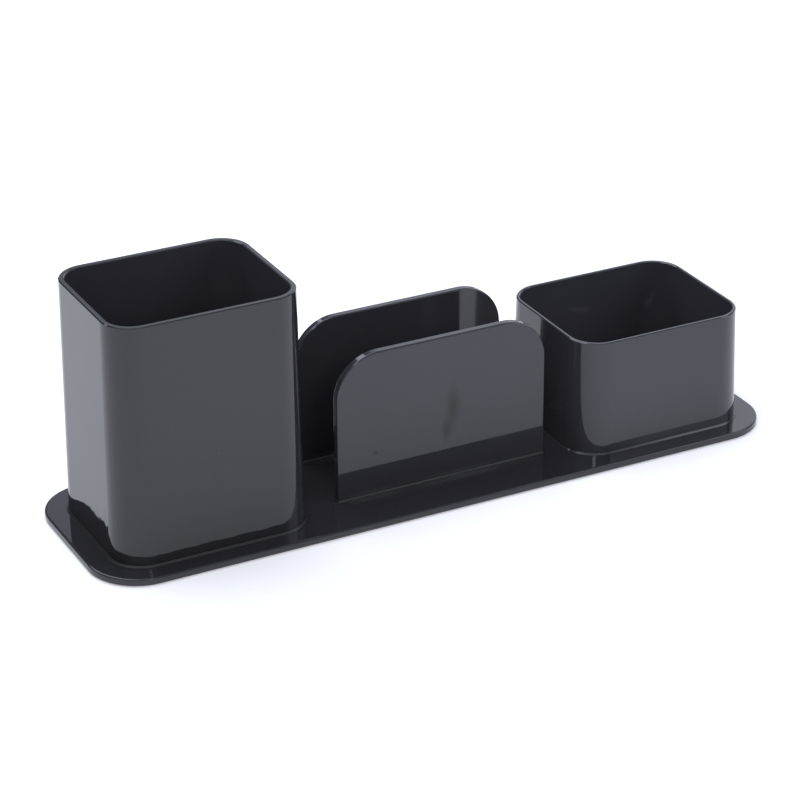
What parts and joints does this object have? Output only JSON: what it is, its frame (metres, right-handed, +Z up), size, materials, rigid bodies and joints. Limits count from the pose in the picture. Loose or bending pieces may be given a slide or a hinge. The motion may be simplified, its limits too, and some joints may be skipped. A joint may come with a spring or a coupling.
{
  "type": "pen holder",
  "caption": "Gloss black desk set: a tall pen cup, a memo slot between round-cornered panels and a low clip cup, standing on one long round-cornered plate.",
  "frame": {"origin": "on the surface that the set stands on, under the middle of the plate", "axes": "+X along the plate from the pen cup to the clip cup, +Y from the front to the back, +Z up"},
  "size_m": [0.23, 0.065, 0.0788],
  "materials": {
    "gloss_black": "polished moulded polystyrene",
    "foot_rubber": "matt soft rubber pads"
  },
  "bodies": {
    "root": {"base_plate": "gloss_black", "pen_cup": "gloss_black", "clip_cup": "gloss_black", "memo_front_panel": "gloss_black", "memo_rear_panel": "gloss_black", "anti_slip_feet": "foot_rubber"}
  },
  "joints": []
}
